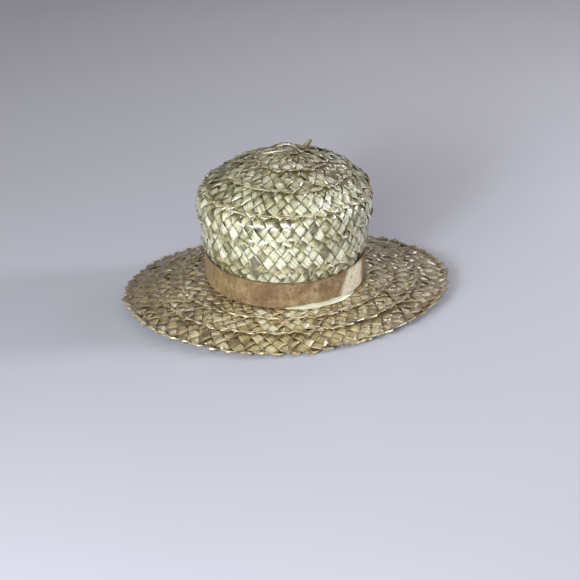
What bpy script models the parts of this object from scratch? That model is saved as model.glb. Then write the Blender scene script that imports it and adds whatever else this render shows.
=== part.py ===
"""A straw hat: a domed oval crown and a sloping brim, both of sewn straw braid, a ribbon band
round the crown's foot, and the knotted ends of the braid on top.

Metres, +Z up. The front of the hat faces -Y and its width runs along X. The origin is on the
table that the brim rests on, under the middle of the hat.
"""

import math
from collections import namedtuple

import bmesh
import bpy
from mathutils import Vector

# The hollow that the head goes into: the inner face of the wall.
HEAD_HALF_WIDTH = 0.0802
HEAD_EXTRA_DEPTH = 0.0170  # how much further the hollow reaches to the front than to the side
CROWN_WIDEST = 0.0896  # half width at the shoulder, where the crown bulges most
WIDEST_EXTRA_DEPTH = 0.0095
WIDEST_HEIGHT = 0.0895  # above the crown's foot
CROWN_HEIGHT = 0.1335
DOME_SQUARENESS = 1.55  # 1 is a cone, 2 is an ellipse, and more is a flatter top
DOME_OFFSET = 0.0085  # the top of the dome sits this far towards +X
SIDE_FULLNESS = 1.2  # how early the side swells out above the band
LEAN_RIGHT = math.radians(2.7)  # of the crown, towards +X
LEAN_FRONT = math.radians(2.0)  # and towards -Y

# The brim.
BRIM_HALF_WIDTH = 0.1712
BRIM_EXTRA_DEPTH = -0.0010
BRIM_ROUNDING = 3  # how soon, going outwards, the rows turn from the head's oval to round
BRIM_DROP = 0.0193  # mean fall from the crown's foot to the edge
BRIM_SADDLE = 0.0040  # the front and back fall this much further, and the sides this much less
BRIM_CURL = 1.35  # above 1 the brim steepens towards its edge
EDGE_LEVEL = 0.0045  # the last stretch before the edge runs level
LEVEL_SHARE = 1 - EDGE_LEVEL / (BRIM_HALF_WIDTH - HEAD_HALF_WIDTH)
REST_BAND = 0.0006  # what would hang this close to the table touches it
# The crown's foot, on the brim's underside, is as high as the front and back edges fall.
FOOT_HEIGHT = BRIM_DROP * LEVEL_SHARE**BRIM_CURL + BRIM_SADDLE * LEVEL_SHARE**2

# The straw braid, sewn round and round with each row lapped over the next one out.
ROW_PITCH = 0.0280
FIRST_LIP = 0.0168  # from the crown's foot up to the lowest row's lip
WALL_THIN = 0.0015  # where a row comes out from under the one above it
WALL_THICK = 0.0028  # at a row's lip
LIP_DROP = 0.0006  # length over which a lip steps back to the next row
EDGE_ROUND = 0.0010  # how far in from the brim's edge it rounds over
BRIM_LIPS = (0.0325, 0.0590)  # from the crown's foot outwards
TEETH = 63  # folds of straw round the brim's edge
TOOTH_DEPTH = 0.0030
TOOTH_PEAK = 0.72  # where a tooth peaks, as a share of its length

# The ribbon band, drawn tight so that the straw bulges above it.
BAND_HEIGHT = 0.0278
BAND_THICKNESS = 0.0012
BAND_PINCH = 0.0018
PINCH_RISE = 0.0050  # height over which the straw springs back above the band
BAND_LAP_START = math.radians(100)
BAND_LAP_END = math.radians(124)
BAND_LAP_THICKNESS = 0.0008

GAP = 0.0003  # between pieces that touch
CROWN_STEPS = 64
BAND_STEPS = 72
BAND_FOOT = WALL_THICK + 2 * GAP  # above the crown's foot
BAND_TOP = BAND_FOOT + BAND_HEIGHT

# The braid's ends on top of the crown: a row for each point that a strand passes through.
STRAND_RADIUS = 0.0013
Stop = namedtuple("Stop", "right back rise")
TOP_LOOP = (
    Stop(0.000, 0.004, 0.000),
    Stop(-0.013, 0.001, 0.000),
    Stop(-0.024, 0.002, 0.000),
    Stop(-0.030, 0.006, 0.0005),
    Stop(-0.026, 0.010, 0.001),
    Stop(-0.017, 0.010, 0.000),
)
TOP_CURL = (
    Stop(-0.009, 0.008, 0.000),
    Stop(-0.015, 0.007, 0.004),
    Stop(-0.016, 0.003, 0.007),
    Stop(-0.008, 0.0015, 0.0085),
    Stop(0.000, 0.000, 0.007),
    Stop(0.007, -0.001, 0.001),
)
TOP_STUB = (
    Stop(0.0075, 0.004, 0.000),
    Stop(0.0125, 0.0045, 0.002),
    Stop(0.0165, 0.005, 0.007),
    Stop(0.0190, 0.005, 0.012),
)

Finish = namedtuple("Finish", "color roughness metallic")
STRAW_CROWN = Finish((0.78, 0.74, 0.52), 0.35, 0.0)
STRAW_BRIM = Finish((0.62, 0.52, 0.33), 0.4, 0.0)
RIBBON = Finish((0.55, 0.36, 0.20), 0.85, 0.0)
STRAW_END = Finish((0.66, 0.58, 0.36), 0.45, 0.0)


def clear_scene():
    for old in list(bpy.data.objects):
        bpy.data.objects.remove(old, do_unlink=True)


def collection(name):
    made = bpy.data.collections.new(name)
    bpy.context.scene.collection.children.link(made)
    return made


def material(name, finish):
    made = bpy.data.materials.new(name)
    made.use_nodes = True
    shader = made.node_tree.nodes["Principled BSDF"]
    shader.inputs["Base Color"].default_value = (*finish.color, 1.0)
    shader.inputs["Roughness"].default_value = finish.roughness
    shader.inputs["Metallic"].default_value = finish.metallic
    return made


def outward_share(radius):
    """How far out on the brim this half width lies, from 0 at the crown to 1 at the edge."""
    return max(0.0, (radius - HEAD_HALF_WIDTH) / (BRIM_HALF_WIDTH - HEAD_HALF_WIDTH))


def leaned(x, y, z, share=1.0):
    """A point turned about the crown's foot by this share of the crown's lean."""
    right, front = LEAN_RIGHT * share, LEAN_FRONT * share
    rise = z - FOOT_HEIGHT
    fall = x * math.sin(right) - y * math.sin(front)
    return Vector((x + rise * math.sin(right), y - rise * math.sin(front), z - fall))


def crown_shape(radius, turn, height):
    """Takes a point of the round crown to its place on the oval, leaning one."""
    offset = 0.0
    above = height - FOOT_HEIGHT - WIDEST_HEIGHT
    if above >= 0:
        extra = WIDEST_EXTRA_DEPTH * radius / CROWN_WIDEST
        offset = DOME_OFFSET * min(1.0, above / (CROWN_HEIGHT - WIDEST_HEIGHT))
    else:
        share = (radius - HEAD_HALF_WIDTH) / (CROWN_WIDEST - HEAD_HALF_WIDTH)
        share = min(max(share, 0.0), 1.0)
        extra = HEAD_EXTRA_DEPTH + (WIDEST_EXTRA_DEPTH - HEAD_EXTRA_DEPTH) * share
    return leaned(radius * math.cos(turn) + offset, (radius + extra) * math.sin(turn), height)


def brim_shape(radius, turn, lift):
    """Takes a point of the flat round brim, with its height above the underside, to its place."""
    outward = outward_share(radius)
    tooth = (turn / math.tau * TEETH) % 1.0
    if tooth < TOOTH_PEAK:
        out = tooth / TOOTH_PEAK
    else:
        out = (1.0 - tooth) / (1.0 - TOOTH_PEAK)
    toothed = radius + TOOTH_DEPTH * (out - 0.5) * max(0.0, outward * 8 - 7)
    inward = max(0.0, 1.0 - outward)
    extra = BRIM_EXTRA_DEPTH
    extra += (HEAD_EXTRA_DEPTH - BRIM_EXTRA_DEPTH) * inward**BRIM_ROUNDING
    sloped = min(outward, LEVEL_SHARE)
    fall = BRIM_DROP * sloped**BRIM_CURL
    fall -= BRIM_SADDLE * math.cos(2 * turn) * sloped**2
    x = toothed * math.cos(turn)
    y = (toothed + extra) * math.sin(turn)
    place = leaned(x, y, FOOT_HEIGHT - fall + lift, inward)
    if place.z < REST_BAND:
        place.z = 0.0
    return place


def side_radius(rise):
    """The half width of the crown's inner face at this height above its foot."""
    above = max(0.0, rise - BAND_TOP)
    swell = 1 - (1 - above / (WIDEST_HEIGHT - BAND_TOP)) ** SIDE_FULLNESS
    spring = min(1.0, above / PINCH_RISE)
    pinch = BAND_PINCH * spring * spring * (3 - 2 * spring)
    return HEAD_HALF_WIDTH + pinch + (CROWN_WIDEST - HEAD_HALF_WIDTH - BAND_PINCH) * swell


def dome_curve(samples=120, side_samples=90):
    """The crown's inner face as (radius, height) from the top of the dome down to its foot."""
    points = []
    for i in range(samples + 1):
        angle = math.pi / 2 * (1 - i / samples)
        across = max(0.0, math.cos(angle)) ** (2 / DOME_SQUARENESS)
        up = max(0.0, math.sin(angle)) ** (2 / DOME_SQUARENESS)
        rise = WIDEST_HEIGHT + (CROWN_HEIGHT - WIDEST_HEIGHT) * up
        points.append((CROWN_WIDEST * across, FOOT_HEIGHT + rise))
    for i in range(1, side_samples + 1):
        rise = WIDEST_HEIGHT * (1 - i / side_samples)
        points.append((side_radius(rise), FOOT_HEIGHT + rise))
    return points


class Curve:
    """A curve that can be read at any length along it, with an offset to its outer side."""

    def __init__(self, points):
        self.points = points
        self.lengths = [0.0]
        for (r0, z0), (r1, z1) in zip(points, points[1:]):
            self.lengths.append(self.lengths[-1] + math.hypot(r1 - r0, z1 - z0))
        self.total = self.lengths[-1]

    def at(self, length, offset=0.0):
        length = min(max(length, 0.0), self.total)
        i = 1
        while i < len(self.lengths) - 1 and self.lengths[i] < length:
            i += 1
        (r0, z0), (r1, z1) = self.points[i - 1], self.points[i]
        step = self.lengths[i] - self.lengths[i - 1]
        share = (length - self.lengths[i - 1]) / step
        radius = r0 + (r1 - r0) * share
        height = z0 + (z1 - z0) * share
        out_r, out_z = -(z1 - z0) / step, (r1 - r0) / step
        if length < 1e-9:
            out_r, out_z = 0.0, 1.0
        return radius + out_r * offset, height + out_z * offset


def crown_lips(curve):
    """The lengths at which the crown's rows end, from the top of the dome down."""
    lips = []
    lip = curve.total - FIRST_LIP
    while lip > ROW_PITCH / 2:
        lips.append(lip)
        lip -= ROW_PITCH
    return lips[::-1]


def row_points(start, lip, extra_lengths=()):
    """(length, offset) pairs over one row of braid, from under the last row to its own lip."""
    first = start + LIP_DROP
    lengths = [first, (first + lip) / 2, lip]
    lengths += [length for length in extra_lengths if first < length < lip]
    found = []
    for length in sorted(lengths):
        share = (length - first) / (lip - first)
        found.append((length, WALL_THIN + (WALL_THICK - WALL_THIN) * share))
    return found


def turned(name, profile, steps, shape, into, finish, closed):
    """A solid turned from a profile of (radius, height), whose points shape() then moves."""
    mesh = bpy.data.meshes.new(name)
    edges = [(i, i + 1) for i in range(len(profile) - 1)]
    if closed:
        edges.append((len(profile) - 1, 0))
    mesh.from_pydata([(r, 0.0, z) for r, z in profile], edges, [])
    rough = bpy.data.objects.new(name + "_profile", mesh)
    bpy.context.scene.collection.objects.link(rough)
    screw = rough.modifiers.new("turn", "SCREW")
    screw.axis = "Z"
    screw.angle = math.tau
    screw.steps = screw.render_steps = steps
    screw.use_merge_vertices = True
    screw.merge_threshold = 1e-6
    graph = bpy.context.evaluated_depsgraph_get()
    solid = bpy.data.meshes.new_from_object(rough.evaluated_get(graph))
    bpy.data.objects.remove(rough, do_unlink=True)
    for vertex in solid.vertices:
        x, y, z = vertex.co
        vertex.co = shape(math.hypot(x, y), math.atan2(y, x) % math.tau, z)
    work = bmesh.new()
    work.from_mesh(solid)
    bmesh.ops.recalc_face_normals(work, faces=work.faces)
    work.to_mesh(solid)
    work.free()
    solid.shade_smooth()
    solid.set_sharp_from_angle(angle=math.radians(35))
    made = bpy.data.objects.new(name, solid)
    into.objects.link(made)
    solid.materials.append(material(name, finish))
    return made


def make_crown(curve, into):
    """The crown: a hollow dome whose outside steps in below the lip of each row of braid."""
    lips = crown_lips(curve)
    pinch = [curve.total - BAND_TOP - PINCH_RISE * share for share in (1.0, 0.6, 0.1)]
    outside = [(0.0, WALL_THIN)]
    start = 0.0
    for lip in [*lips, curve.total]:
        outside += row_points(start, lip, pinch)
        start = lip
    profile = [curve.at(length, offset) for length, offset in outside]
    floor = FOOT_HEIGHT + WALL_THICK + GAP
    profile[-1] = (HEAD_HALF_WIDTH + WALL_THIN, floor)
    profile.append((HEAD_HALF_WIDTH, floor))
    inside = sorted([curve.total * i / 11 for i in range(11)] + pinch, reverse=True)
    profile += [curve.at(length) for length in inside]
    return turned("crown", profile, CROWN_STEPS, crown_shape, into, STRAW_CROWN, False)


def make_brim(into):
    """The brim: a ring whose top steps down below each row's lip, with a toothed edge."""
    width = BRIM_HALF_WIDTH - HEAD_HALF_WIDTH
    seat = WALL_THICK + 2 * GAP + BAND_THICKNESS
    top = [(0.0, WALL_THICK), (seat, WALL_THICK)]
    start = seat
    for lip in (*BRIM_LIPS, width - EDGE_ROUND):
        top += row_points(start, lip)
        start = lip
    top.append((width, WALL_THICK / 2))
    profile = [(HEAD_HALF_WIDTH + length, offset) for length, offset in top]
    profile.append((BRIM_HALF_WIDTH - EDGE_ROUND, 0.0))
    profile.append((BRIM_HALF_WIDTH - EDGE_LEVEL, 0.0))
    profile.append((BRIM_HALF_WIDTH - ROW_PITCH, 0.0))
    profile.append((HEAD_HALF_WIDTH + ROW_PITCH, 0.0))
    profile.append((HEAD_HALF_WIDTH, 0.0))

    def shape(radius, turn, lift):
        step = math.tau / (2 * TEETH)
        if round(turn / step) % 2:
            turn += (2 * TOOTH_PEAK - 1) * step
        return brim_shape(radius, turn, lift)

    return turned("brim", profile, 2 * TEETH, shape, into, STRAW_BRIM, True)


def make_band(into):
    """The ribbon round the crown's foot, lapped over its own end at the back."""
    inner = WALL_THICK + GAP
    outer = inner + BAND_THICKNESS
    rises = (BAND_TOP, BAND_FOOT)
    profile = [(HEAD_HALF_WIDTH + outer, FOOT_HEIGHT + rise) for rise in rises]
    profile += [(HEAD_HALF_WIDTH + inner, FOOT_HEIGHT + rise) for rise in reversed(rises)]

    def shape(radius, turn, height):
        if BAND_LAP_START < turn < BAND_LAP_END and radius > HEAD_HALF_WIDTH + inner + GAP:
            radius += BAND_LAP_THICKNESS
        return crown_shape(radius, turn, height)

    return turned("band", profile, BAND_STEPS, shape, into, RIBBON, True)


def crown_top(curve, right, back):
    """The crown's outer surface this far from the top of the dome, within its middle row."""
    radius, turn = math.hypot(right, back), math.atan2(back, right)
    low, high = 0.0, curve.total / 2
    for _ in range(40):
        middle = (low + high) / 2
        if curve.at(middle)[0] < radius:
            low = middle
        else:
            high = middle
    lip = crown_lips(curve)[0]
    past = max(0.0, low - lip)
    offset = WALL_THIN + (WALL_THICK - WALL_THIN) * (min(low, lip) / lip + past / ROW_PITCH)
    return crown_shape(radius, turn, curve.at(low)[1] + offset)


def smooth_route(stops, per_span=3):
    """Points along a smooth curve through the stops."""
    ends = [stops[0] * 2 - stops[1], *stops, stops[-1] * 2 - stops[-2]]
    found = []
    for i in range(1, len(ends) - 2):
        a, b, c, d = ends[i - 1 : i + 3]
        for k in range(per_span):
            t = k / per_span
            bend = b * 2 + (c - a) * t + (a * 2 - b * 5 + c * 4 - d) * t * t
            found.append((bend + (b * 3 - a - c * 3 + d) * t**3) * 0.5)
    found.append(stops[-1])
    return found


def make_strand(name, curve, stops, into):
    """One straw end on top of the crown, bent through its stops, each above the crown."""
    seat = STRAND_RADIUS + GAP
    through = []
    for stop in stops:
        foot = crown_top(curve, stop.right, stop.back)
        through.append(foot + Vector((0.0, 0.0, seat + stop.rise)))
    line = bpy.data.curves.new(name, "CURVE")
    line.dimensions = "3D"
    line.bevel_depth = STRAND_RADIUS
    line.bevel_resolution = 2
    line.use_fill_caps = True
    route = smooth_route(through)
    spline = line.splines.new("POLY")
    spline.points.add(len(route) - 1)
    for point, place in zip(spline.points, route):
        point.co = (*place, 1.0)
    made = bpy.data.objects.new(name, line)
    into.objects.link(made)
    line.materials.append(material(name, STRAW_END))
    return made


def main():
    clear_scene()
    parts = collection("straw_hat")
    curve = Curve(dome_curve())
    make_crown(curve, parts)
    make_brim(parts)
    make_band(parts)
    make_strand("top_loop", curve, TOP_LOOP, parts)
    make_strand("top_curl", curve, TOP_CURL, parts)
    make_strand("top_stub", curve, TOP_STUB, parts)


main()
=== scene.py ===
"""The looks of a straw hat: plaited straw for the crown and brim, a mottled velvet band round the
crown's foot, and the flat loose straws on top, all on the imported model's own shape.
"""

import math
from collections import namedtuple

import bpy
import numpy as np
from mathutils import Matrix, Vector


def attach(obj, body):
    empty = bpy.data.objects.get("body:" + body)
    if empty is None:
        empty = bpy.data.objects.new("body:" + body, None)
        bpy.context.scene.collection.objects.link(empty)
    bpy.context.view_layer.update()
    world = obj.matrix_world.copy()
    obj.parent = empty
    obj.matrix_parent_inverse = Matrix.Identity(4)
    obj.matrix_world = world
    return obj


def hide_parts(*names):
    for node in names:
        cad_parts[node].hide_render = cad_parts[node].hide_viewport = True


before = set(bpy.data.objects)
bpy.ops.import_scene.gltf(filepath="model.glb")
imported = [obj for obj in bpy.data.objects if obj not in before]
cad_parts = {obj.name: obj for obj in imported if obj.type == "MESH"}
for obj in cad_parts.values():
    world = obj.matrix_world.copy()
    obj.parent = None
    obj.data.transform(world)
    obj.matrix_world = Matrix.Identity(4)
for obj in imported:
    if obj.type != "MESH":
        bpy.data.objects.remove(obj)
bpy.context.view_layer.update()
random = np.random.default_rng(7)

# The model's shape, in metres, as its source has it.
HEAD_HALF_WIDTH = 0.0802
HEAD_EXTRA_DEPTH = 0.0170
CROWN_WIDEST = 0.0896
WIDEST_EXTRA_DEPTH = 0.0095
WIDEST_HEIGHT = 0.0895
CROWN_HEIGHT = 0.1335
DOME_SQUARENESS = 1.55
DOME_OFFSET = 0.0085
SIDE_FULLNESS = 1.2
LEAN_RIGHT = math.radians(2.7)
LEAN_FRONT = math.radians(2.0)
BRIM_HALF_WIDTH = 0.1712
BRIM_EXTRA_DEPTH = -0.0010
BRIM_ROUNDING = 3
BRIM_DROP = 0.0193
BRIM_SADDLE = 0.0040
BRIM_CURL = 1.35
EDGE_LEVEL = 0.0045
BRIM_WIDTH = BRIM_HALF_WIDTH - HEAD_HALF_WIDTH
LEVEL_SHARE = 1 - EDGE_LEVEL / BRIM_WIDTH
FOOT_HEIGHT = BRIM_DROP * LEVEL_SHARE**BRIM_CURL + BRIM_SADDLE * LEVEL_SHARE**2
ROW_PITCH = 0.0280
FIRST_LIP = 0.0168
LAST_LIP = 0.0045
WALL_THICK = 0.0028
GAP = 0.0003
BAND_HEIGHT = 0.0278
BAND_THICKNESS = 0.0012
BAND_PINCH = 0.0018
PINCH_RISE = 0.0050
BAND_FOOT = WALL_THICK + 2 * GAP
BAND_TOP = BAND_FOOT + BAND_HEIGHT
BRIM_LIPS = (0.0325, 0.0590, BRIM_WIDTH - 0.0005)
BRIM_TEETH = 63

# The plait: four flat straws that cross and fold back at its edges.
DIAMOND = 0.0135  # one diamond's width along the plait
PLAIT_WIDTH = 0.0326
STRAW_THICKNESS = 0.00030
STRAW_SHARE = 0.965  # a straw's width, as a share of the room it has
STRAW_ARCH = 0.00055  # how much lower a straw's edges lie than its middle
PLAIT_WAVE = 0.00078  # how far a straw rises and dips to pass the others
LIP_FLARE = 0.0016  # how far the folded teeth of a lip stand out from the row below
BRIM_FLARE = 0.0020
LIP_LOOP = 0.0004  # half of what a fold's loop adds to the plait's thickness at the lips
EDGE_LOOP = 0.0010
LOWEST = 0.0002  # of any straw, above the braid's inner face
CALM = 0.70  # how much smaller the teeth are at the hat's sides and back
TOOTH_PEAK = 0.65  # where a folded tooth peaks, as a share of its length
TOOTH_LEVEL = 0.6  # the part of a tooth that lies inside the lip
CROSSINGS = 3  # of other straws, on a straw's way from edge to edge

# How unevenly the straws lie: in metres, or as shares of the thing itself.
RAGGED = 0.0010  # the folds along a lip
LIP_WOBBLE = 0.0007
LEVEL_WOBBLE = 0.00025
WIDTH_SPREAD = 0.035
SWAY = 0.035  # a straw beside its way, in diamonds
TOOTH_SPREAD = 0.3
WAVE_SPREAD = 0.18
TWIST = 0.00080  # a straw's edges, up and down
LIP_TWIST = 0.00050
FLARE_SPREAD = 0.5
LOOP_SPREAD = 0.45

# A straw's tone runs from 0, dark, to 1, pale.
TONE = 0.66
TONE_SPREAD = 0.25
TUCK_SHADE = 0.75  # painted shade: how much darker it is where it goes under the row above
FOLD_SHADE = 0.3  # and painted shade where it comes back behind its fold

# The loose straws.
STRIP_THICKNESS = 0.0005
STRIP_ARCH = 0.06  # how much lower its edges lie, as a share of its half width
STRIP_MARKED = DIAMOND / 2.3  # the half width that it has in the straw's material
SEAT = 0.0032  # of those on top, above the crown's inner face
STRAND_RISE = 0.0012  # of their middle lines above that seat


def smooth(low, high, value):
    """0 below low, 1 above high, and a soft step between them."""
    share = np.clip((value - low) / (high - low), 0.0, 1.0)
    return share * share * (3 - 2 * share)


def calm(turn):
    """0 at the hat's front and 1 at its sides and back."""
    return smooth(-0.6, 0.1, np.sin(turn))


def wobble(turn, amount):
    """A slow unevenness round the hat."""
    waves = [np.sin(n * turn + random.uniform(0, math.tau)) / math.sqrt(n) for n in (2, 5, 9, 17)]
    return amount * sum(waves) / 2


def leaned(x, y, z, share=1.0):
    """Leans a point with the crown, by a share of the crown's own lean."""
    right, front = LEAN_RIGHT * share, LEAN_FRONT * share
    rise = z - FOOT_HEIGHT
    fall = x * np.sin(right) - y * np.sin(front)
    return np.stack([x + rise * np.sin(right), y - rise * np.sin(front), z - fall], -1)


def crown_shape(radius, turn, height):
    """Takes a point of the round crown to its place on the oval, leaning one."""
    above = height - FOOT_HEIGHT - WIDEST_HEIGHT
    share = np.clip((radius - HEAD_HALF_WIDTH) / (CROWN_WIDEST - HEAD_HALF_WIDTH), 0.0, 1.0)
    low = HEAD_EXTRA_DEPTH + (WIDEST_EXTRA_DEPTH - HEAD_EXTRA_DEPTH) * share
    extra = np.where(above >= 0, WIDEST_EXTRA_DEPTH * radius / CROWN_WIDEST, low)
    offset = DOME_OFFSET * np.clip(above / (CROWN_HEIGHT - WIDEST_HEIGHT), 0.0, 1.0)
    return leaned(radius * np.cos(turn) + offset, (radius + extra) * np.sin(turn), height)


def brim_place(outward, lift, turn):
    """The place of a point this far out from the crown's foot and above the brim's underside."""
    radius = HEAD_HALF_WIDTH + outward
    share = np.clip(outward / BRIM_WIDTH, 0.0, None)
    inward = np.clip(1 - share, 0.0, 1.0)
    extra = BRIM_EXTRA_DEPTH + (HEAD_EXTRA_DEPTH - BRIM_EXTRA_DEPTH) * inward**BRIM_ROUNDING
    sloped = np.minimum(share, LEVEL_SHARE)
    fall = BRIM_DROP * sloped**BRIM_CURL - BRIM_SADDLE * np.cos(2 * turn) * sloped**2
    x, y = radius * np.cos(turn), (radius + extra) * np.sin(turn)
    return leaned(x, y, FOOT_HEIGHT - fall + lift, inward)


def side_radius(rise):
    """The crown's half width this far above its foot: pinched by the band, fuller above it."""
    above = np.maximum(0.0, rise - BAND_TOP)
    swell = 1 - (1 - above / (WIDEST_HEIGHT - BAND_TOP)) ** SIDE_FULLNESS
    pinch = BAND_PINCH * smooth(0.0, PINCH_RISE, above)
    return HEAD_HALF_WIDTH + pinch + (CROWN_WIDEST - HEAD_HALF_WIDTH - BAND_PINCH) * swell


Curve = namedtuple("Curve", "length radius height out_radius out_height")


def crown_curve(samples=240):
    """The crown's inner face from the top down, with its outward direction."""
    angle = np.linspace(math.pi / 2, 0.0, samples)
    across = np.clip(np.cos(angle), 0, 1) ** (2 / DOME_SQUARENESS)
    up = np.clip(np.sin(angle), 0, 1) ** (2 / DOME_SQUARENESS)
    rise = np.linspace(WIDEST_HEIGHT, 0.0, samples)[1:]
    radius = np.concatenate([CROWN_WIDEST * across, side_radius(rise)])
    height = np.concatenate([WIDEST_HEIGHT + (CROWN_HEIGHT - WIDEST_HEIGHT) * up, rise])
    steps = np.hypot(np.diff(radius), np.diff(height))
    length = np.concatenate([[0.0], np.cumsum(steps)])
    out_radius = -np.gradient(height, length)
    out_height = np.gradient(radius, length)
    return Curve(length, radius, height + FOOT_HEIGHT, out_radius, out_height)


CURVE = crown_curve()
CROWN_LENGTH = CURVE.length[-1]


def crown_place(length, offset, turn):
    """The place of a point this far down the crown and outside its inner face."""
    radius, height, out_radius, out_height = (
        np.interp(length, CURVE.length, values) for values in CURVE[1:]
    )
    return crown_shape(radius + out_radius * offset, turn, height + out_height * offset)


def dome_length(radius):
    """How far down the crown's inner face this half width is, on the dome."""
    widest = CURVE.radius.argmax()
    return np.interp(radius, CURVE.radius[:widest], CURVE.length[:widest])


def object_from(name, places, faces, material):
    """A mesh object that rides on the hat's one body."""
    mesh = bpy.data.meshes.new(name)
    mesh.from_pydata(places.reshape(-1, 3).tolist(), [], faces.reshape(-1, faces.shape[-1]).tolist())
    mesh.update()
    mesh.shade_smooth()
    mesh.materials.append(material)
    made = bpy.data.objects.new(name, mesh)
    bpy.context.scene.collection.objects.link(made)
    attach(made, "root")
    return made


def add_values(made, name, kind, values):
    """Stores a value for each point of the mesh, for its material to read."""
    field = made.data.attributes.new(name, kind, "POINT")
    field.data.foreach_set("vector" if kind == "FLOAT_VECTOR" else "color", values.ravel())


def stacked(shape, *values):
    """These values, each spread out to one shape, side by side in a last axis."""
    return np.stack([np.broadcast_to(value, shape) for value in values], -1)


def crest(share):
    """The straw's rise and dip on its way across, with flat tops and quick crossings."""
    return np.tanh(np.cos(math.tau * 2 * share)) / math.tanh(1)


# One straw's way over one fold of the plait's lip, station by station: across the plait, back,
# and under its other edge. Along is in diamonds from the fold, across is a share of the plait's
# width, and heading turns once as the straw wraps round.
LEG = np.linspace(0.0, 1.0, 17)[:, None]
BEND = np.array([0.25, 0.5, 0.75])[:, None] * math.pi
ALONG = np.concatenate([2 * LEG - 2, 0 * BEND, 2 * LEG, 0 * BEND + 2])
ACROSS = np.concatenate([LEG, 0 * BEND + 1, 1 - LEG, 0 * BEND])
HEADING = np.concatenate([0 * LEG, BEND, 0 * LEG + math.pi, BEND + math.pi])
BULGE = np.concatenate([0 * LEG, np.sin(BEND), 0 * LEG, -np.sin(BEND)])
FREE = np.concatenate([np.sin(math.pi * LEG), 0 * BEND] * 2)  # 0 where the straw is held
RETURNING = np.concatenate([0 * LEG, 0 * BEND + 0.5, 0 * LEG + 1, 0 * BEND + 0.5])
STATIONS = len(ALONG)
# The straw's own section: five points over its face and three on its back.
SIDE = np.array([-1.0, -0.86, 0.3, 0.86, 1.0, 1.0, 0.3, -1.0])
FACE = np.array([0.2, 0.5, 0.5, 0.5, 0.2, -0.2, -0.5, -0.2])
POINTS = SIDE.size
# The section's corners as three faces that close a strip's end.
END_FACES = np.array([[7, 0, 1, 6], [6, 1, 2, 3], [6, 3, 4, 5]])
# The others cross it on the slant, so its sides rise and dip before and after its middle.
SLANTED = LEG + STRAW_SHARE * SIDE / 8
BENT = -np.cos(BEND) * crest(STRAW_SHARE * SIDE / 8)
WAVE = np.concatenate([-crest(SLANTED), BENT, crest(SLANTED), -BENT])

# A row of plait: how many folds it has, where its lip is, how thick it lies at both edges (low
# and high), its teeth and loops, and how far round it starts.
Row = namedtuple("Row", "folds lip width low high tooth flare loop turned")
# Points and faces, and for each point its place on its straw, its tone and share of the lip, and
# the way that the straw runs.
Part = namedtuple("Part", "places faces straw shades grain")


def plait(row, place):
    """One closed row of plait."""
    folds = row.folds

    def by_fold(values):
        return values[:, None, None]

    def each(spread):
        """A value for each straw's way out and way back."""
        out, back = random.normal(0, spread, (2, folds))
        return by_fold(out) * (1 - RETURNING) + by_fold(back) * RETURNING

    # Round the hat: each straw's place along the plait, in folds and then as a turn.
    narrow = STRAW_SHARE - by_fold(np.abs(random.normal(0, WIDTH_SPREAD, folds)))
    straw_along = ALONG + each(SWAY) * FREE
    turn = by_fold(np.arange(folds)) + 0.5 + straw_along + 0.5 * narrow * SIDE
    turn = math.tau * turn / folds + row.turned

    # Across the plait, with a tooth where the straw is held at its fold.
    held = smooth(0.80, 1.0, ACROSS)
    share = (SIDE + 1) / 2
    tooth = np.where(share < TOOTH_PEAK, share / TOOTH_PEAK, (1 - share) / (1 - TOOTH_PEAK))
    bold = 1 - CALM * calm(turn)
    tooth_height = row.tooth * by_fold(1 + random.normal(0, TOOTH_SPREAD, folds)) * bold
    thick = STRAW_THICKNESS * FACE
    over = row.width * ACROSS + PLAIT_WAVE * BULGE
    over = over - thick * np.sin(HEADING) + tooth_height * (tooth - TOOTH_LEVEL) * held
    over = over + wobble(turn, LIP_WOBBLE) + by_fold(random.normal(0, RAGGED, folds)) * held

    # Out from the hat: the wave, the straw's arch and twist, and the flare and loop of its fold.
    rise = PLAIT_WAVE * WAVE * (1 + each(WAVE_SPREAD))
    rise = rise + thick * np.cos(HEADING)
    rise = rise - STRAW_ARCH * SIDE**2 * np.abs(np.cos(HEADING))
    rise = rise + each(TWIST) * SIDE * FREE
    rise = rise + each(LIP_TWIST) * SIDE * smooth(0.66, 0.85, ACROSS)
    flare = by_fold(1 + random.normal(0, FLARE_SPREAD, folds))
    rise = rise + row.flare * bold * tooth * held * flare
    loop = row.loop * by_fold(np.abs(1 + random.normal(0, LOOP_SPREAD, folds)))
    rise = rise + loop * bold * (1 + WAVE) * held
    level = row.low + (row.high - row.low) * np.clip(over / row.width, 0, 1)
    lift = np.maximum(level + rise + wobble(turn, LEVEL_WOBBLE), LOWEST)
    places = place(row.lip - row.width + over, lift, turn)

    # For its material: how far along its straw each point is, how pale it is, with painted shade
    # under the row above and behind its folds, and its direction.
    shape = (folds, STATIONS, POINTS)
    steps = (np.diff(a, axis=0, prepend=a[:1]) for a in (ALONG * DIAMOND, ACROSS * row.width))
    run = np.cumsum(np.hypot(*steps), axis=0) + by_fold(random.uniform(0, 10, folds))
    # Painted shade where the straw runs under the row above and comes back behind its fold.
    tuck_shade = 1 - smooth(0.10, 0.36, over / row.width)
    fold_shade = smooth(0.70, 0.82, ACROSS) * RETURNING
    tone = np.clip(TONE + each(TONE_SPREAD) - TUCK_SHADE * tuck_shade - FOLD_SHADE * fold_shade, 0, 1)
    grain = np.gradient(places, axis=1)
    grain /= np.linalg.norm(grain, axis=-1, keepdims=True) + 1e-12
    return Part(
        places,
        row_faces(folds),
        stacked(shape, SIDE * DIAMOND / 2, run, WAVE),
        stacked(shape, tone, smooth(0.84, 1.0, ACROSS)),
        grain,
    )


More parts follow.
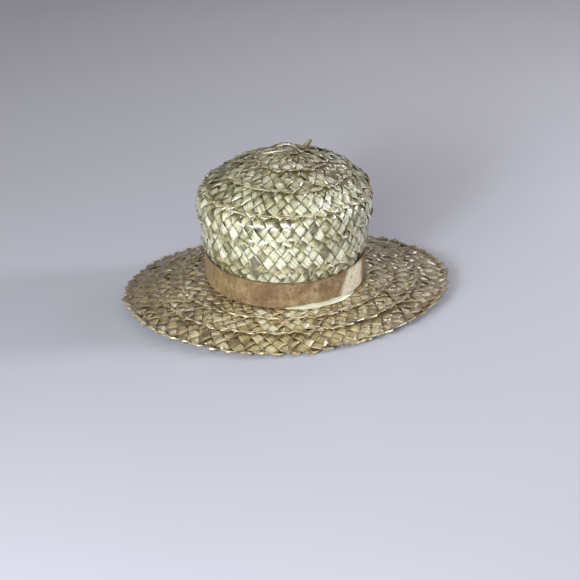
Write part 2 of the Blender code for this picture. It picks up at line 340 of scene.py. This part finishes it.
def row_faces(folds):
    """The faces of a row's straws, each going on into the fold CROSSINGS + 1 further on."""
    first = np.arange(folds * STATIONS).reshape(folds, STATIONS) * POINTS
    after = np.concatenate([first[:, 1:], np.roll(first[:, :1], -(CROSSINGS + 1), 0)], 1)
    here, then = np.arange(POINTS), (np.arange(POINTS) + 1) % POINTS
    corners = [first[..., None] + here, first[..., None] + then]
    corners += [after[..., None] + then, after[..., None] + here]
    return np.stack(corners, -1)[..., ::-1]


# Places where the straw is stained: where, how far it spreads and how strong it is.
Stain = namedtuple("Stain", "place spread strength")
STAINS = (
    Stain((-0.163, -0.018, 0.006), 0.020, 0.8),
    Stain((0.136, -0.052, 0.010), 0.024, 0.8),
    Stain((0.042, -0.030, 0.155), 0.018, 0.7),
    Stain((0.105, -0.110, 0.004), 0.020, 0.4),
)


def stained(places):
    """How brown the stains have made the straw."""
    amount = np.zeros(places.shape[:-1])
    for stain in STAINS:
        distance = np.linalg.norm(places - np.array(stain.place), axis=-1)
        amount = np.maximum(amount, stain.strength * np.exp(-((distance / stain.spread) ** 2)))
    return amount


def aged(places):
    """How dull and brown the straw is, partly real dulling and partly painted shade: the dome's top
    and the brim's sides and back.
    """
    x, y, z = places.T
    top = smooth(0.128, 0.158, z)
    on_brim = smooth(0.06, 0.02, z)
    back, sides = smooth(-0.09, 0.09, y), smooth(0.06, 0.15, np.abs(x))
    return np.maximum(top, (0.6 * back + 0.55 * sides) * on_brim)


def painted_front_light(places):
    """Painted light: how much paler the straw is on the front of the brim, close to the crown."""
    x, y, z = places.T
    beside, ahead = (x + 0.006) / 0.045, (y + 0.112) / 0.020
    on_brim = z < 0.04
    return 0.6 * np.exp(-(beside**2) - ahead**2) * on_brim


def joined(name, parts, material, age_and_shade=1.0):
    """One piece made of plaits and strips. Its material reads straw, shade and grain: shade is
    the tone, the share of the lip, the dulling with painted shade, and the stain.
    """
    starts = np.cumsum([0] + [part.places.size // 3 for part in parts])
    faces = np.concatenate([part.faces.reshape(-1, 4) + s for part, s in zip(parts, starts)])
    places, straw, shades, grain = (
        np.concatenate([values.reshape(-1, values.shape[-1]) for values in kind])
        for kind in zip(*[(part.places, part.straw, part.shades, part.grain) for part in parts])
    )
    # Painted light on the front of the brim.
    shades[:, 0] += painted_front_light(places)
    shades = np.column_stack([shades, age_and_shade * aged(places), stained(places)])
    piece = object_from(name, places, faces, material)
    add_values(piece, "straw", "FLOAT_VECTOR", straw)
    add_values(piece, "shade", "FLOAT_COLOR", shades)
    add_values(piece, "grain", "FLOAT_VECTOR", grain)
    return piece


def crown_rows():
    """The crown's rows from the top down, the last one with its lip on the brim."""
    lips = [CROWN_LENGTH - FIRST_LIP]
    while lips[-1] - ROW_PITCH > ROW_PITCH / 2:
        lips.append(lips[-1] - ROW_PITCH)
    rows = []
    for lip in [*reversed(lips), CROWN_LENGTH - LAST_LIP]:
        middle = np.interp(lip - PLAIT_WIDTH * 0.4, CURVE.length, CURVE.radius)
        folds = round(math.tau * (middle + WIDEST_EXTRA_DEPTH / 2) / DIAMOND)
        high, tooth, flare, loop = 0.0024, 0.0030, LIP_FLARE, LIP_LOOP
        if lip > CROWN_LENGTH - BAND_TOP:  # pressed flat by the band
            high, tooth, flare, loop = 0.0016, 0.0010, 0.0, 0.0
        turned = random.uniform(0, 1)
        rows.append(Row(folds, lip, PLAIT_WIDTH, 0.0009, high, tooth, flare, loop, turned))
    return rows


def brim_rows():
    """The brim's three rows, from the crown's foot to the toothed edge."""
    first, second, edge = BRIM_LIPS
    rows = []
    for lip, width, low, high, tooth, loop in (
        (first, 0.0320, 0.0020, 0.0026, 0.0036, LIP_LOOP),
        (second, 0.0320, 0.0014, 0.0028, 0.0036, LIP_LOOP),
        (edge, 0.0365, 0.0014, 0.0022, 0.0060, EDGE_LOOP),
    ):
        middle = HEAD_HALF_WIDTH + lip - width / 2
        folds = BRIM_TEETH if lip == edge else round(math.tau * (middle + 0.003) / DIAMOND)
        rows.append(Row(folds, lip, width, low, high, tooth, BRIM_FLARE, loop, 0.0))
    return rows


class Nodes:
    """Short ways to lay out a material's nodes."""

    def __init__(self, name):
        self.material = bpy.data.materials.new(name)
        self.material.use_nodes = True
        self.tree = self.material.node_tree
        self.shader = self.tree.nodes["Principled BSDF"]

    def add(self, kind, inputs=(), **settings):
        node = self.tree.nodes.new(kind)
        for key, value in settings.items():
            setattr(node, key, value)
        for key, value in dict(inputs).items():
            self.put(node.inputs[key], value)
        return node

    def put(self, socket, value):
        if isinstance(value, bpy.types.NodeSocket):
            self.tree.links.new(value, socket)
        elif socket.type == "RGBA":
            socket.default_value = (*value, 1.0)
        else:
            socket.default_value = value

    def read(self, name):
        return self.add("ShaderNodeAttribute", attribute_name=name).outputs

    def split(self, color):
        parts = self.add("ShaderNodeSeparateColor", {"Color": color}).outputs
        return parts["Red"], parts["Green"], parts["Blue"]

    def place(self):
        return self.add("ShaderNodeTexCoord").outputs["Object"]

    def noise(self, vector, scale, detail=3.0, roughness=0.5):
        inputs = {"Vector": vector, "Scale": scale, "Detail": detail, "Roughness": roughness}
        return self.add("ShaderNodeTexNoise", inputs).outputs["Fac"]

    def math(self, operation, a, b=0.0, c=0.0):
        return self.add("ShaderNodeMath", {0: a, 1: b, 2: c}, operation=operation).outputs[0]

    def times(self, a, b):
        return self.math("MULTIPLY", a, b)

    def ramp(self, value, low, high, to_low=0.0, to_high=1.0):
        inputs = {"Value": value, "From Min": low, "From Max": high}
        inputs.update({"To Min": to_low, "To Max": to_high})
        return self.add("ShaderNodeMapRange", inputs).outputs["Result"]

    def mix(self, share, a, b):
        node = self.add("ShaderNodeMix", data_type="RGBA")
        sockets = {socket.identifier: socket for socket in node.inputs}
        for key, value in (("Factor_Float", share), ("A_Color", a), ("B_Color", b)):
            self.put(sockets[key], value)
        return next(socket for socket in node.outputs if socket.identifier == "Result_Color")

    def stretched(self, vector, scale):
        return self.add("ShaderNodeMapping", {"Vector": vector, "Scale": scale}).outputs["Vector"]

    def bump(self, height, distance, strength=1.0):
        inputs = {"Height": height, "Distance": distance, "Strength": strength}
        return self.add("ShaderNodeBump", inputs).outputs["Normal"]

    def set(self, **inputs):
        for key, value in inputs.items():
            self.put(self.shader.inputs[key.replace("_", " ")], value)


# A straw's colours, and how strongly its pale rims, a painted highlight, and the dark lines at its
# edges, painted shade, show.
Straw = namedtuple("Straw", "pale mid dark lip aged stain rim line")
CROWN_STRAW = Straw(
    pale=(0.61, 0.60, 0.45),
    mid=(0.245, 0.22, 0.095),
    dark=(0.060, 0.048, 0.012),
    lip=(0.48, 0.40, 0.19),
    aged=(0.190, 0.143, 0.061),
    stain=(0.13, 0.055, 0.018),
    rim=0.3,
    line=0.8,
)
BRIM_STRAW = Straw(
    pale=(0.52, 0.42, 0.225),
    mid=(0.215, 0.153, 0.057),
    dark=(0.095, 0.062, 0.022),
    # The lips, paler than the straw: the folds' own colour with a painted highlight on the tips.
    lip=(0.66, 0.57, 0.34),
    aged=(0.130, 0.083, 0.029),
    stain=(0.11, 0.042, 0.015),
    rim=0.60,
    line=0.65,
)
# The palest straw colour: for the palest straws and for the painted light on the brim's front.
PALEST_STRAW = (0.66, 0.65, 0.50)


def straw_material(name, straw):
    """Glossy flattened straw, grained along its length and darker at its edges."""
    n = Nodes(name)
    spot = n.read("straw")["Vector"]
    shade = n.read("shade")
    tone, lip, age_and_shade = n.split(shade["Color"])
    stain = shade["Alpha"]
    cross, _, above = n.add("ShaderNodeSeparateXYZ", {"Vector": spot}).outputs
    place = n.place()

    # Fibres, streaks and ridges along the straw, and patches that run over several straws.
    grain = n.noise(n.stretched(spot, (1500.0, 45.0, 0.0)), 1.0, 4.0, 0.6)
    streak = n.noise(n.stretched(spot, (430.0, 14.0, 0.0)), 1.0, 2.0)
    ridges = n.noise(n.stretched(spot, (540.0, 20.0, 0.0)), 1.0, 2.0)
    patch = n.noise(place, 38.0, 2.0)
    relief = n.math("MULTIPLY_ADD", ridges, 0.8, n.times(grain, 0.25))

    # Its rims, for a painted highlight, and its very edges and the parts that dip under other straws,
    # for painted shade.
    aside = n.math("ABSOLUTE", cross)
    edge = n.ramp(aside, 0.0062, 0.0068)
    rim = n.times(n.ramp(aside, 0.0046, 0.0056), n.ramp(patch, 0.35, 0.6, 0.3, 1.0))
    under = n.ramp(above, 0.24, 0.0)

    lightness = n.ramp(patch, 0.3, 0.7, 0.2, 0.8)
    lightness = n.math("MULTIPLY_ADD", n.math("SUBTRACT", tone, 0.5), 1.5, lightness)
    # Painted shade: darker towards where the straw dips under the others.
    lightness = n.math("SUBTRACT", lightness, n.ramp(above, 0.95, 0.15, 0.0, 0.65))
    color = n.mix(n.ramp(lightness, 0.1, 1.0), straw.mid, straw.pale)
    # The palest straws, and the painted light on the brim's front, go towards the palest straw
    # colour.
    color = n.mix(n.ramp(tone, 0.85, 1.4, 0.0, 0.9), color, PALEST_STRAW)
    color = n.mix(n.ramp(lightness, 0.25, -0.35), color, straw.dark)
    color = n.mix(n.ramp(streak, 0.52, 0.70, 0.0, 0.75), color, straw.dark)
    color = n.mix(n.ramp(streak, 0.44, 0.28, 0.0, 0.5), color, straw.pale)
    lip = n.times(lip, n.ramp(n.noise(place, 170.0, 2.0), 0.42, 0.58, 0.15, 0.75))
    color = n.mix(lip, color, straw.lip)
    # Painted highlight on the straw's rims.
    color = n.mix(n.times(rim, straw.rim), color, straw.pale)
    # Duller and browner: partly real dulling, partly painted shade on the dome's top and the brim's
    # back and sides.
    color = n.mix(n.times(age_and_shade, 0.7), color, straw.aged)
    # Painted shade along the straw's edges and where it dips under other straws.
    color = n.mix(n.times(n.math("MAXIMUM", edge, under), straw.line), color, straw.dark)
    stain = n.times(stain, n.ramp(n.noise(place, 95.0, 3.0), 0.35, 0.62))
    color = n.mix(stain, color, straw.stain)
    color = n.mix(n.ramp(grain, 0.35, 0.65, 0.0, 0.28), color, straw.dark)

    n.set(Base_Color=color, Roughness=n.ramp(grain, 0.3, 0.7, 0.25, 0.40))
    n.set(Specular_IOR_Level=1.0, Normal=n.bump(relief, 0.0008, 0.9))
    n.set(Anisotropic=0.35, Anisotropic_Rotation=0.25, Tangent=n.read("grain")["Vector"])
    n.set(Coat_Weight=1.0, Coat_Roughness=0.14, Coat_IOR=1.6)
    return n.material


Velvet = namedtuple("Velvet", "tan golden light dark worn speck spot nap rim")
VELVET = Velvet(
    tan=(0.165, 0.105, 0.058),
    golden=(0.172, 0.120, 0.054),
    light=(0.29, 0.205, 0.120),
    dark=(0.105, 0.062, 0.034),
    worn=(0.70, 0.62, 0.49),
    speck=(0.075, 0.042, 0.02),
    spot=(0.14, 0.075, 0.04),
    nap=(0.085, 0.05, 0.024),
    rim=(0.060, 0.036, 0.020),
)


def velvet_material(name):
    """Velvet ribbon: a mottled nap, and pale in one place."""
    n = Nodes(name)
    shade = n.read("shade")
    worn, golden, spot = n.split(shade["Color"])
    place = n.place()
    nap = n.noise(place, 900.0, 4.0, 0.7)
    cloud = n.noise(place, 60.0, 4.0, 0.65)
    speck = n.noise(place, 330.0, 3.0, 0.6)
    color = n.mix(golden, VELVET.tan, VELVET.golden)
    color = n.mix(n.ramp(cloud, 0.46, 0.66, 0.0, 0.9), color, VELVET.light)
    color = n.mix(n.ramp(cloud, 0.46, 0.3, 0.0, 0.8), color, VELVET.dark)
    worn = n.times(worn, n.ramp(cloud, 0.2, 0.5, 0.6, 1.0))
    color = n.mix(worn, color, VELVET.worn)
    outside_patch = n.ramp(worn, 0.0, 1.0, 1.0, 0.3)
    color = n.mix(n.times(n.ramp(speck, 0.50, 0.68, 0.0, 0.75), outside_patch), color, VELVET.speck)
    color = n.mix(spot, color, VELVET.spot)
    color = n.mix(n.ramp(nap, 0.42, 0.66, 0.0, 0.5), color, VELVET.nap)
    # Darker edges and end: partly painted shade where the ribbon meets the straw, partly dark pile.
    rim = n.times(shade["Alpha"], n.ramp(nap, 0.3, 0.55, 0.35, 0.9))
    color = n.mix(rim, color, VELVET.rim)
    n.set(Base_Color=color, Roughness=0.95, Specular_IOR_Level=0.1)
    n.set(Sheen_Weight=0.12, Sheen_Roughness=0.5, Sheen_Tint=(0.95, 0.75, 0.55))
    n.set(Normal=n.bump(nap, 0.0004, 0.5))
    return n.material


LAP_START = math.radians(99), math.radians(101)
LAP_END = math.radians(123), math.radians(124)
LAP_THICKNESS = 0.0008
BAND_LENGTHENED = 0.0007  # how much lower the ribbon's foot hangs than the model's


def make_band(material):
    """The ribbon, drawn tight over the plait and lapped over its own end at the back."""
    turns, rises = 540, 18
    turn = math.tau * np.arange(turns)[:, None] / turns
    rise = np.linspace(0.0, 1.0, rises)[None, :]
    lapped = smooth(*LAP_START, turn) * (1 - smooth(*LAP_END, turn))
    edge = 1 - smooth(0.0, 0.05, np.minimum(rise, 1 - rise))
    height = FOOT_HEIGHT + BAND_TOP - (BAND_HEIGHT + BAND_LENGTHENED) * (1 - rise)
    height = height + wobble(turn, 0.0006) * rise
    pressed = 0.00022 * np.sin(turn * 43) * np.sin(rise * math.pi * 3.4)
    inner = HEAD_HALF_WIDTH + WALL_THICK + GAP + pressed + 0 * height
    outer = inner + BAND_THICKNESS * (1 - 0.45 * edge) + LAP_THICKNESS * lapped
    around = np.concatenate([outer, inner[:, ::-1]], 1)
    heights = np.concatenate([height, height[:, ::-1]], 1)
    places = crown_shape(around, turn + 0 * around, heights)
    here = np.arange(around.size).reshape(around.shape)
    ahead = np.roll(here, -1, 0)
    corners = [here, ahead, np.roll(ahead, -1, 1), np.roll(here, -1, 1)]
    band = object_from("ribbon_band", places, np.stack(corners, -1), material)

    # Where it is pale, where it is golden, its one dark mark, and its darker edges and left end: the
    # edges partly painted shade where the ribbon meets the straw and partly dark pile.
    share = np.concatenate([rise, rise[:, ::-1]], 1) + 0 * turn
    degrees = np.degrees(turn + 0 * share)
    worn = smooth(306, 313, degrees - 9 * share) * (1 - smooth(334, 341, degrees))
    low = smooth(0.6, 0.1, share) * smooth(262, 275, degrees) * (1 - smooth(292, 305, degrees))
    golden = np.maximum(1 - smooth(225, 258, degrees), low)
    golden = np.where(degrees < 180, 0.6, golden)
    spot = np.exp(-(((degrees - 322) / 0.9) ** 2) - ((share - 0.6) / 0.05) ** 2)
    # Painted shade at the top and bottom edges, where the ribbon meets the straw, with the pile's own
    # darkness.
    rim = np.maximum(smooth(0.92, 0.99, share), 0.7 * smooth(0.06, 0.0, share))
    rim = np.maximum(rim, 0.5 * smooth(218, 190, degrees))
    add_values(band, "shade", "FLOAT_COLOR", np.stack([worn, golden, spot, rim], -1))
    return band


def spread(values, steps):
    """These values evenly along a strip's steps."""
    return np.interp(np.linspace(0, 1, steps), np.linspace(0, 1, len(values)), values)


def strip(route, widths, twist=(0.0, 0.0), up=(0.0, -0.25, 1.0), tone=0.5, lip=0.0):
    """A flat straw along a route, tapering and twisting as it goes."""
    steps = len(route)
    ahead = np.gradient(route, axis=0)
    ahead /= np.linalg.norm(ahead, axis=1)[:, None]
    flat = np.cross(ahead, np.array(up))
    flat /= np.linalg.norm(flat, axis=1)[:, None]
    raised = np.cross(flat, ahead)
    turned = spread(twist, steps)[:, None]
    wide = flat * np.cos(turned) + raised * np.sin(turned)
    thick = np.cross(wide, ahead)
    sideways = SIDE * spread(widths, steps)[:, None] / 2
    outwards = FACE * STRIP_THICKNESS - STRIP_ARCH * np.abs(sideways)
    places = route[:, None] + wide[:, None] * sideways[..., None]
    places = places + thick[:, None] * outwards[..., None]

    here = np.arange(steps * POINTS).reshape(steps, POINTS)
    corners = [here[:-1], np.roll(here[:-1], -1, 1), np.roll(here[1:], -1, 1), here[1:]]
    sides = np.stack(corners, -1).reshape(-1, 4)
    faces = np.concatenate([sides[:, ::-1], END_FACES[:, ::-1], END_FACES + here[-1, 0]])[:, ::-1]

    shape = (steps, POINTS)
    run = np.concatenate([[0], np.cumsum(np.linalg.norm(np.diff(route, axis=0), axis=1))])
    run = run[:, None] + random.uniform(0, 10)
    straw = stacked(shape, SIDE * STRIP_MARKED, run, 1.0)
    return Part(places, faces, straw, stacked(shape, tone, lip), np.repeat(ahead[:, None], POINTS, 1))


def cap_coil():
    """The end of the plait, wound flat round the middle of the crown's top."""
    share = np.linspace(0, 1, 60)
    length = dome_length(0.0004 + 0.0058 * share)
    route = crown_place(length, 0.0034 - 0.0012 * share, share * math.tau * 1.7)
    return strip(route, (0.0040, 0.0052, 0.0040), tone=-0.2)


def at_lip(row, place, turn):
    """The way out from the hat at a row's lip, and the distance from its middle line."""
    foot = place(row.lip, row.high, turn)
    return place(row.lip, row.high + 0.01, turn) - foot, np.linalg.norm(foot[:2])


def loose_ends(rows, place, count, longest, width, lean_spread=0.9, lifted=0.5, paler=0.0):
    """Straw ends and folded bits that stand out along the rows' lips."""
    found = []
    for _ in range(count):
        row = rows[random.integers(len(rows))]
        turn, lean = random.uniform(0, math.tau), random.normal(0, lean_spread)
        length = random.uniform(0.5, 1.0) * longest * (1 - 0.4 * calm(turn))
        share = np.linspace(0, 1, 5)
        out, radius = at_lip(row, place, turn)
        over = row.lip - 0.003 + length * share * math.cos(lean)
        around = turn + length * share * math.sin(lean) / max(radius, 0.03)
        lift = row.high + 0.0010 + random.uniform(0.0, lifted) * length * share**2
        wide = width * random.uniform(0.6, 1.2)
        twist = random.normal(0, 0.4), random.normal(0, 0.8)
        tone, lip = random.uniform(paler, 1 + paler), random.uniform(0, 1)
        widths = (wide / 2, wide, wide, wide / 3)
        found.append(strip(place(over, lift, around), widths, twist, out, tone, lip))
    return found


def lip_lines(rows, place, count, longest, width):
    """Folded edges of straw that lie along the rows' lips."""
    found = []
    folds = np.array([row.folds for row in rows])
    widths = width * np.array([0.4, 0.9, 1.0, 0.8, 0.4])
    for _ in range(count):
        row = rows[random.choice(len(rows), p=folds / folds.sum())]
        turn, length = random.uniform(0, math.tau), random.uniform(0.4, 1.0) * longest
        share = np.linspace(-1, 1, 7)
        out, radius = at_lip(row, place, turn)
        around = turn + length / 2 * share / max(radius, 0.02)
        over = row.lip - 0.0004 + random.normal(0, 0.0008) + random.normal(0, 0.0010) * share
        lift = row.high + 0.0021 - 0.0010 * share**2
        twist = random.normal(0.4, 0.5, 2)
        tone, lip = random.uniform(0.3, 1.0), random.uniform(0.3, 1.0)
        found.append(strip(place(over, lift, around), widths, twist, out, tone, lip))
    return found


# The ways of the straws on top: to the right of the crown's middle, behind it, and above it.
Stop = namedtuple("Stop", "right back rise")
TOP_LOOP = (
    Stop(0.000, 0.004, 0.000),
    Stop(-0.013, 0.001, 0.000),
    Stop(-0.024, 0.002, 0.000),
    Stop(-0.030, 0.006, 0.0005),
    Stop(-0.026, 0.010, 0.001),
    Stop(-0.017, 0.010, 0.000),
)
TOP_CURL = (
    Stop(-0.009, 0.008, 0.000),
    Stop(-0.015, 0.007, 0.004),
    Stop(-0.016, 0.003, 0.007),
    Stop(-0.008, 0.0015, 0.0085),
    Stop(0.000, 0.000, 0.007),
    Stop(0.007, -0.001, 0.001),
)
TOP_STUB = (
    Stop(0.0075, 0.004, 0.000),
    Stop(0.0125, 0.0045, 0.002),
    Stop(0.0165, 0.005, 0.007),
    Stop(0.0190, 0.005, 0.012),
)

# Each one's strands: flat straws along its way, or along the first points of it, moved a little.
Strand = namedtuple("Strand", "widths twist tone moved points", defaults=((0.0, 0.0, 0.0), None))
LOOP_STRANDS = (
    Strand((0.0014, 0.0020, 0.0018, 0.0022), (1.1, 1.4, 1.1), 0.5),
)
CURL_STRANDS = (
    Strand((0.0030, 0.0034, 0.0036, 0.0030), (0.5, 0.8, 1.0), -0.6),
    Strand((0.0016, 0.0020), (1.2, 1.4), 0.7, (0.0015, 0.0010, -0.0030)),
)
STUB_STRANDS = (
    Strand((0.0070, 0.0056, 0.0056), (1.2, 1.3, 1.4), -0.9),
    Strand((0.0066, 0.0024), (1.5, 0.9), -0.3, (-0.0022, -0.0010, 0.0014), 30),
)


def through(stops, spans=40):
    """Points along a smooth curve through the stops, in metres."""
    places = []
    for stop in stops:
        radius, turn = math.hypot(stop.right, stop.back), math.atan2(stop.back, stop.right)
        seat = crown_place(dome_length(radius), SEAT, turn)
        places.append(seat + [0, 0, STRAND_RISE + stop.rise])
    places = np.array(places)
    ends = np.vstack([2 * places[0] - places[1], places, 2 * places[-1] - places[-2]])
    found = []
    for way in np.linspace(0, len(stops) - 1.0001, spans):
        i, t = int(way), way % 1.0
        a, b, c, d = ends[i : i + 4]
        curve = 2 * b + (c - a) * t + (2 * a - 5 * b + 4 * c - d) * t * t
        found.append(0.5 * (curve + (3 * b - a - 3 * c + d) * t**3))
    return np.array(found)


crown_straw = straw_material("crown_straw", CROWN_STRAW)
brim_straw = straw_material("brim_straw", BRIM_STRAW)
velvet = velvet_material("velvet")

rows = crown_rows()
upper = rows[:-2]  # the rows whose lips show above the band
parts = [plait(row, crown_place) for row in rows]
parts.append(cap_coil())
parts += loose_ends(upper, crown_place, 60, longest=0.0080, width=0.0018)
parts += loose_ends(upper[1:], crown_place, 240, 0.0095, 0.0020, lean_spread=1.6, lifted=0.2)
parts += lip_lines(upper[:3], crown_place, 60, longest=0.022, width=0.0019)
parts += lip_lines(upper[3:], crown_place, 50, longest=0.011, width=0.0019)
crown = joined("crown_braid", parts, crown_straw)
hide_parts("crown")

rows = brim_rows()
parts = [plait(row, brim_place) for row in rows]
parts += loose_ends(rows[-1:], brim_place, 150, 0.0074, 0.0025, lean_spread=1.1, paler=0.4)
parts += loose_ends(rows, brim_place, 260, 0.0095, 0.0020, lean_spread=1.6, lifted=0.2)
parts += lip_lines(rows[:-1], brim_place, 100, longest=0.013, width=0.0015)
brim = joined("brim_braid", parts, brim_straw)
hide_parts("brim")

band = make_band(velvet)
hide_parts("band")

# The folded edge of the crown's last row, which shows below the band on the right.
turn = np.radians(np.linspace(-92, -38, 60))
route = brim_place(0.0076 + 0.0004 * np.sin(turn * 40), 0.0050, turn)
widths = (0.0010, 0.0040, 0.0062, 0.0052, 0.0064, 0.0048, 0.0012)
foot = [strip(route, widths, (-0.2, -0.4, -0.5, -0.3, -0.5, -0.3), tone=0.95)]
widths = (0.0008, 0.0024, 0.0030, 0.0022, 0.0028, 0.0010)
foot.append(strip(route[6:52] + [0.0, -0.0014, 0.0004], widths, (-0.6, -0.2, -0.7), tone=1.3))
joined("foot_straw", foot, crown_straw)

for name, stops, strands, age_and_shade in (
    ("top_loop", TOP_LOOP, LOOP_STRANDS, 0.3),
    ("top_curl", TOP_CURL, CURL_STRANDS, 1.0),
    ("top_stub", TOP_STUB, STUB_STRANDS, 1.0),
):
    route = through(stops)
    parts = [strip(route[: s.points] + s.moved, s.widths, s.twist, tone=s.tone) for s in strands]
    end = joined(name + "_straw", parts, crown_straw, age_and_shade)
    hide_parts(name)


# The photograph's angle.
FRAME_PIXELS = 580
SENSOR = 36.0
FOCAL_PIXELS = 1887.0
TARGET = Vector((0.0, 0.0, 0.0250))
TARGET_PIXEL = (285.2, 270.0)
CAMERA_DISTANCE = 2.0
CAMERA_ELEVATION = math.radians(21.3)
CAMERA_ROLL = math.radians(-3.6)

Light = namedtuple("Light", "name place aim size power color")
LIGHTS = (
    Light("front", (-0.80, -1.9, 0.50), (0, 0, 0.10), (1.5, 0.9), 60, (0.955, 1.0, 0.985)),
    Light("window", (-0.75, -1.8, 0.62), (0, 0, 0.10), (0.30, 0.40), 26, (0.965, 1.0, 0.99)),
    Light("right", (1.5, 0.05, 0.55), (0, 0, 0.10), (0.30, 0.60), 16, (0.98, 0.99, 1.0)),
    Light("upper_right", (1.2, 0.40, 1.15), (0, 0, 0.10), (0.35, 0.35), 3.5, (1.0, 0.99, 0.96)),
    Light("back_right", (0.60, 1.35, 0.80), (0, 0, 0.05), (0.20, 0.20), 1.0, (1.0, 0.99, 0.96)),
    Light("glint", (0.0, 1.20, 1.40), (0, 0, 0.08), (0.7, 0.3), 2.5, (1.0, 0.97, 0.90)),
)
FLOOR_SIZE = 14.0
FLOOR_COLORS = (0.43, 0.43, 0.505), (0.50, 0.50, 0.58)
ROOM_COLOR = (1.0, 0.97, 0.93, 1.0)
ROOM_STRENGTH = 0.24


def facing(direction):
    """The turn that points a camera or a light along this direction."""
    return direction.to_track_quat("-Z", "Y").to_matrix().to_4x4()


def make_camera():
    data = bpy.data.cameras.new("camera")
    data.sensor_width = SENSOR
    data.lens = FOCAL_PIXELS / FRAME_PIXELS * SENSOR
    data.shift_x = (FRAME_PIXELS / 2 - TARGET_PIXEL[0]) / FRAME_PIXELS
    data.shift_y = (TARGET_PIXEL[1] - FRAME_PIXELS / 2) / FRAME_PIXELS
    made = bpy.data.objects.new("camera", data)
    away = Vector((0.0, -math.cos(CAMERA_ELEVATION), math.sin(CAMERA_ELEVATION)))
    roll = Matrix.Rotation(CAMERA_ROLL, 4, "Z")
    made.matrix_world = Matrix.Translation(TARGET + away * CAMERA_DISTANCE) @ facing(-away) @ roll
    bpy.context.scene.collection.objects.link(made)
    bpy.context.scene.camera = made


def make_light(light):
    data = bpy.data.lights.new(light.name, "AREA")
    data.shape = "RECTANGLE"
    data.size, data.size_y = light.size
    data.energy = light.power
    data.color = light.color
    made = bpy.data.objects.new(light.name, data)
    turned = facing(Vector(light.aim) - Vector(light.place))
    made.matrix_world = Matrix.Translation(light.place) @ turned
    bpy.context.scene.collection.objects.link(made)


def make_stage():
    """A plain pale floor and soft light."""
    n = Nodes("floor")
    cloud = n.noise(n.place(), 1.5, 3.0)
    n.set(Base_Color=n.mix(cloud, *FLOOR_COLORS), Roughness=0.9)
    bpy.ops.mesh.primitive_plane_add(size=FLOOR_SIZE)
    floor = bpy.context.object
    floor.name = "floor"
    floor.data.materials.append(n.material)
    world = bpy.data.worlds.new("world")
    world.use_nodes = True
    background = world.node_tree.nodes["Background"]
    background.inputs["Color"].default_value = ROOM_COLOR
    background.inputs["Strength"].default_value = ROOM_STRENGTH
    bpy.context.scene.world = world
    for light in LIGHTS:
        make_light(light)


make_camera()
make_stage()
view = bpy.context.scene.view_settings
view.view_transform = "Standard"
